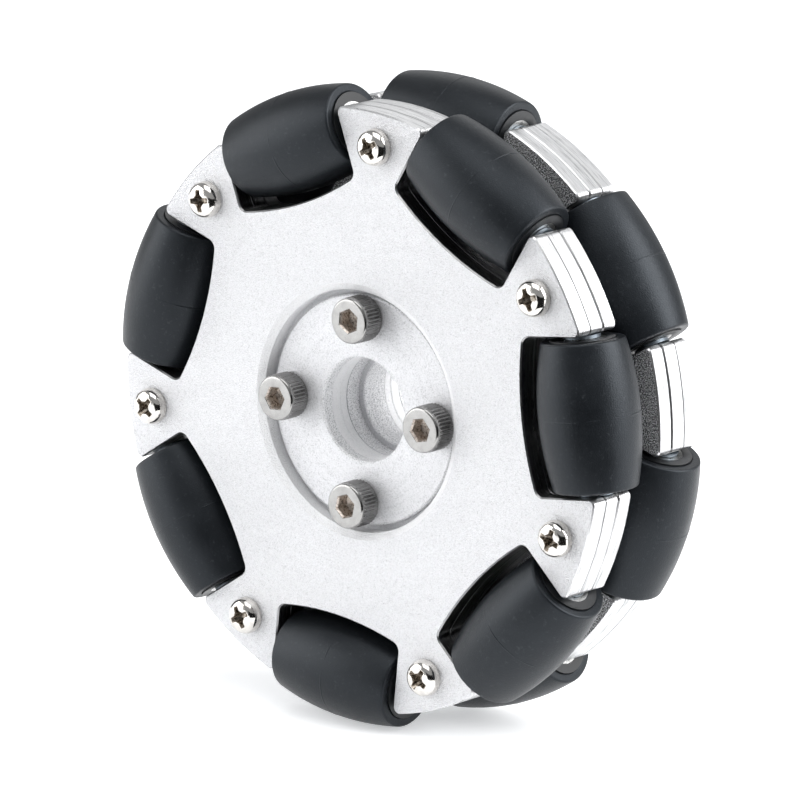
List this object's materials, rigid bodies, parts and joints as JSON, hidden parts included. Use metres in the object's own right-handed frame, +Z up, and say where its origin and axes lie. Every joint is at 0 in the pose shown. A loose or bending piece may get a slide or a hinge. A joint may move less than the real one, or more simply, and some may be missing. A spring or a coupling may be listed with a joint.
{
  "type": "omnidirectional wheel",
  "caption": "Omnidirectional robot wheel: laminated aluminium plates holding staggered rows of free-spinning rubber barrel rollers, with a stepped centre bore and hub cap screws.",
  "frame": {"origin": "centre of the wheel, on its axle line, midway between the two roller rows", "axes": "+Y along the axle, from the front face with the cap screw heads to the rear face; +X and +Z span the wheel's plane, +Z up"},
  "size_m": [0.1, 0.0306, 0.1],
  "materials": {
    "plate_face": "sand-blasted satin sheet, broken edges",
    "plate_inner": "satin sheet, cut edges with fine striations",
    "hub": "satin, turned bore",
    "screw": "bright nickel-plated steel",
    "pin": "ground steel",
    "bearing": "ground steel",
    "washer": "natural translucent plastic",
    "core": "moulded black plastic",
    "tyre": "satin black moulded rubber with a fine parting line"
  },
  "bodies": {
    "wheel_frame": {"front_outer_plate": "plate_face", "front_middle_plate": "plate_inner", "front_inner_plate": "plate_inner", "hub_spacer": "hub", "rear_inner_plate": "plate_inner", "rear_middle_plate": "plate_inner", "rear_outer_plate": "plate_face", "front_hub_disc": "hub", "rear_hub_disc": "hub", "hub_cap_screws": "screw", "front_lug_screws": "screw", "rear_lug_screws": "screw", "front_roller_pins": "pin", "rear_roller_pins": "pin", "front_bearing_inner_rings": "bearing", "rear_bearing_inner_rings": "bearing", "front_roller_washers": "washer", "rear_roller_washers": "washer"},
    "front_roller_1": {"front_roller_1_tyre": "tyre", "front_roller_1_core": "core", "front_roller_1_bearing_outer_rings": "bearing"},
    "front_roller_2": {"front_roller_2_tyre": "tyre", "front_roller_2_core": "core", "front_roller_2_bearing_outer_rings": "bearing"},
    "front_roller_3": {"front_roller_3_tyre": "tyre", "front_roller_3_core": "core", "front_roller_3_bearing_outer_rings": "bearing"},
    "front_roller_4": {"front_roller_4_tyre": "tyre", "front_roller_4_core": "core", "front_roller_4_bearing_outer_rings": "bearing"},
    "front_roller_5": {"front_roller_5_tyre": "tyre", "front_roller_5_core": "core", "front_roller_5_bearing_outer_rings": "bearing"},
    "front_roller_6": {"front_roller_6_tyre": "tyre", "front_roller_6_core": "core", "front_roller_6_bearing_outer_rings": "bearing"},
    "front_roller_7": {"front_roller_7_tyre": "tyre", "front_roller_7_core": "core", "front_roller_7_bearing_outer_rings": "bearing"},
    "rear_roller_1": {"rear_roller_1_tyre": "tyre", "rear_roller_1_core": "core", "rear_roller_1_bearing_outer_rings": "bearing"},
    "rear_roller_2": {"rear_roller_2_tyre": "tyre", "rear_roller_2_core": "core", "rear_roller_2_bearing_outer_rings": "bearing"},
    "rear_roller_3": {"rear_roller_3_tyre": "tyre", "rear_roller_3_core": "core", "rear_roller_3_bearing_outer_rings": "bearing"},
    "rear_roller_4": {"rear_roller_4_tyre": "tyre", "rear_roller_4_core": "core", "rear_roller_4_bearing_outer_rings": "bearing"},
    "rear_roller_5": {"rear_roller_5_tyre": "tyre", "rear_roller_5_core": "core", "rear_roller_5_bearing_outer_rings": "bearing"},
    "rear_roller_6": {"rear_roller_6_tyre": "tyre", "rear_roller_6_core": "core", "rear_roller_6_bearing_outer_rings": "bearing"},
    "rear_roller_7": {"rear_roller_7_tyre": "tyre", "rear_roller_7_core": "core", "rear_roller_7_bearing_outer_rings": "bearing"}
  },
  "joints": [
    {"name": "front_roller_1_spin", "type": "hinge", "parent": "wheel_frame", "child": "front_roller_1", "pos_m": [0.0419, -0.0075, 0.00506], "axis": [-0.1199, 0, 0.9928], "continuous": true},
    {"name": "front_roller_2_spin", "type": "hinge", "parent": "wheel_frame", "child": "front_roller_2", "pos_m": [0.02217, -0.0075, 0.03591], "axis": [-0.8509, 0, 0.5253], "continuous": true},
    {"name": "front_roller_3_spin", "type": "hinge", "parent": "wheel_frame", "child": "front_roller_3", "pos_m": [-0.01426, -0.0075, 0.03972], "axis": [-0.9412, 0, -0.3378], "continuous": true},
    {"name": "front_roller_4_spin", "type": "hinge", "parent": "wheel_frame", "child": "front_roller_4", "pos_m": [-0.03994, -0.0075, 0.01362], "axis": [-0.3227, 0, -0.9465], "continuous": true},
    {"name": "front_roller_5_spin", "type": "hinge", "parent": "wheel_frame", "child": "front_roller_5", "pos_m": [-0.03555, -0.0075, -0.02274], "axis": [0.5388, 0, -0.8425], "continuous": true},
    {"name": "front_roller_6_spin", "type": "hinge", "parent": "wheel_frame", "child": "front_roller_6", "pos_m": [-0.00439, -0.0075, -0.04197], "axis": [0.9946, 0, -0.104], "continuous": true},
    {"name": "front_roller_7_spin", "type": "hinge", "parent": "wheel_frame", "child": "front_roller_7", "pos_m": [0.03008, -0.0075, -0.0296], "axis": [0.7014, 0, 0.7127], "continuous": true},
    {"name": "rear_roller_1_spin", "type": "hinge", "parent": "wheel_frame", "child": "rear_roller_1", "pos_m": [0.03555, 0.0075, 0.02274], "axis": [-0.5388, 0, 0.8425], "continuous": true},
    {"name": "rear_roller_2_spin", "type": "hinge", "parent": "wheel_frame", "child": "rear_roller_2", "pos_m": [0.00439, 0.0075, 0.04197], "axis": [-0.9946, 0, 0.104], "continuous": true},
    {"name": "rear_roller_3_spin", "type": "hinge", "parent": "wheel_frame", "child": "rear_roller_3", "pos_m": [-0.03008, 0.0075, 0.0296], "axis": [-0.7014, 0, -0.7127], "continuous": true},
    {"name": "rear_roller_4_spin", "type": "hinge", "parent": "wheel_frame", "child": "rear_roller_4", "pos_m": [-0.0419, 0.0075, -0.00506], "axis": [0.1199, 0, -0.9928], "continuous": true},
    {"name": "rear_roller_5_spin", "type": "hinge", "parent": "wheel_frame", "child": "rear_roller_5", "pos_m": [-0.02217, 0.0075, -0.03591], "axis": [0.8509, 0, -0.5253], "continuous": true},
    {"name": "rear_roller_6_spin", "type": "hinge", "parent": "wheel_frame", "child": "rear_roller_6", "pos_m": [0.01426, 0.0075, -0.03972], "axis": [0.9412, 0, 0.3378], "continuous": true},
    {"name": "rear_roller_7_spin", "type": "hinge", "parent": "wheel_frame", "child": "rear_roller_7", "pos_m": [0.03994, 0.0075, -0.01362], "axis": [0.3227, 0, 0.9465], "continuous": true}
  ]
}
